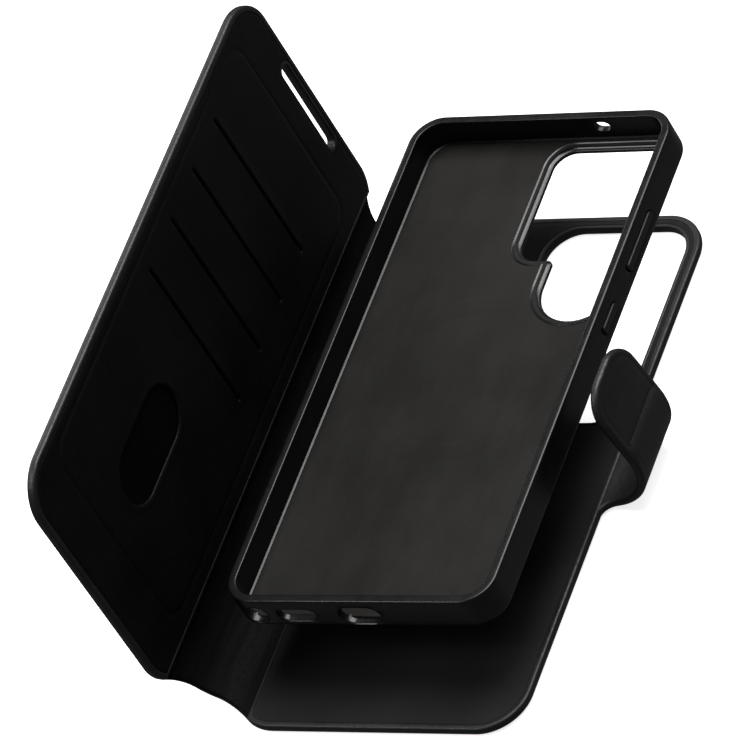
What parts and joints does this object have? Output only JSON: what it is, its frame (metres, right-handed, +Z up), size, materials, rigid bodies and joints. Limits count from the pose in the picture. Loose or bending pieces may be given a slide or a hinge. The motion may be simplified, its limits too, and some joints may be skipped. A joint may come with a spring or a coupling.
{
  "type": "phone wallet case",
  "caption": "Folding wallet with card pockets, a camera window and a wrap-over strap, holding a phone case that docks by magnets and lifts off.",
  "frame": {"origin": "middle of the back panel's flat underside, which the wallet stands on", "axes": "+Z up out of the back panel, +Y towards the phone's top edge along the wallet's length, +X towards the closing strap and the side buttons"},
  "size_m": [0.1198, 0.1848, 0.1024],
  "materials": {
    "leather": "fine-grained black leather, satin",
    "leather_inner": "smooth black leather, satin",
    "microfibre": "short-nap microfibre, matte",
    "divider": "thin woven polyester",
    "shell": "soft flexible plastic, satin",
    "shell_plate": "fine matte texture",
    "board": "stiff fibre board",
    "magnet": "nickel plated",
    "steel": "thin steel sheet"
  },
  "bodies": {
    "back_panel": {"back_skin": "leather", "back_board": "board", "back_lining": "microfibre", "back_magnet_ring": "magnet", "back_align_magnet": "magnet"},
    "case": {"case_bumper": "shell", "case_back": "shell_plate", "case_lining": "microfibre", "camera_frame": "shell", "case_magnet_ring": "magnet", "case_align_magnet": "magnet"},
    "volume_key": {"volume_button": "shell"},
    "power_key": {"power_button": "shell"},
    "spine": {"spine_skin": "leather", "spine_lining": "leather_inner"},
    "front_cover": {"cover_skin": "leather", "cover_board": "board", "clasp_plate": "steel", "card_divider_1": "divider", "card_divider_2": "divider", "card_divider_3": "divider", "card_divider_4": "divider", "cover_lining": "leather_inner"},
    "strap_neck": {"strap_neck_skin": "leather", "strap_neck_lining": "leather_inner"},
    "strap_tab": {"strap_tab_skin": "leather", "strap_board": "board", "strap_magnets": "magnet", "strap_tab_lining": "leather_inner"}
  },
  "joints": [
    {"name": "case_dock", "type": "slide", "parent": "back_panel", "child": "case", "axis": [0, -0.6, -0.8], "range_m": [0, 0.0245]},
    {"name": "spine_fold", "type": "hinge", "parent": "back_panel", "child": "spine", "pos_m": [-0.05215, 0, 0.00855], "axis": [0, 1, 0], "range_deg": [0, 58], "deforming": ["spine_skin", "spine_lining"]},
    {"name": "cover_fold", "type": "hinge", "parent": "spine", "child": "front_cover", "pos_m": [-0.05215, 0, 0.00855], "axis": [0, 1, 0], "range_deg": [-90, 32]},
    {"name": "strap_lift", "type": "hinge", "parent": "back_panel", "child": "strap_neck", "pos_m": [0.0431, 0, 0.0014], "axis": [0, -1, 0], "range_deg": [0, 56]},
    {"name": "strap_fold", "type": "hinge", "parent": "strap_neck", "child": "strap_tab", "pos_m": [0.0573, 0, 0.0122], "axis": [0, -1, 0], "range_deg": [-75, 29.5]},
    {"name": "volume_press", "type": "slide", "parent": "case", "child": "volume_key", "axis": [-1, 0, 0], "range_m": [0, 0.0004], "stiffness_N_per_m": 900},
    {"name": "power_press", "type": "slide", "parent": "case", "child": "power_key", "axis": [-1, 0, 0], "range_m": [0, 0.0004], "stiffness_N_per_m": 900}
  ],
  "couplings": [
    {"joint": "spine_fold", "follows": "case_dock", "rad_per_m": 41.318},
    {"joint": "strap_lift", "follows": "case_dock", "rad_per_m": 39.893}
  ]
}
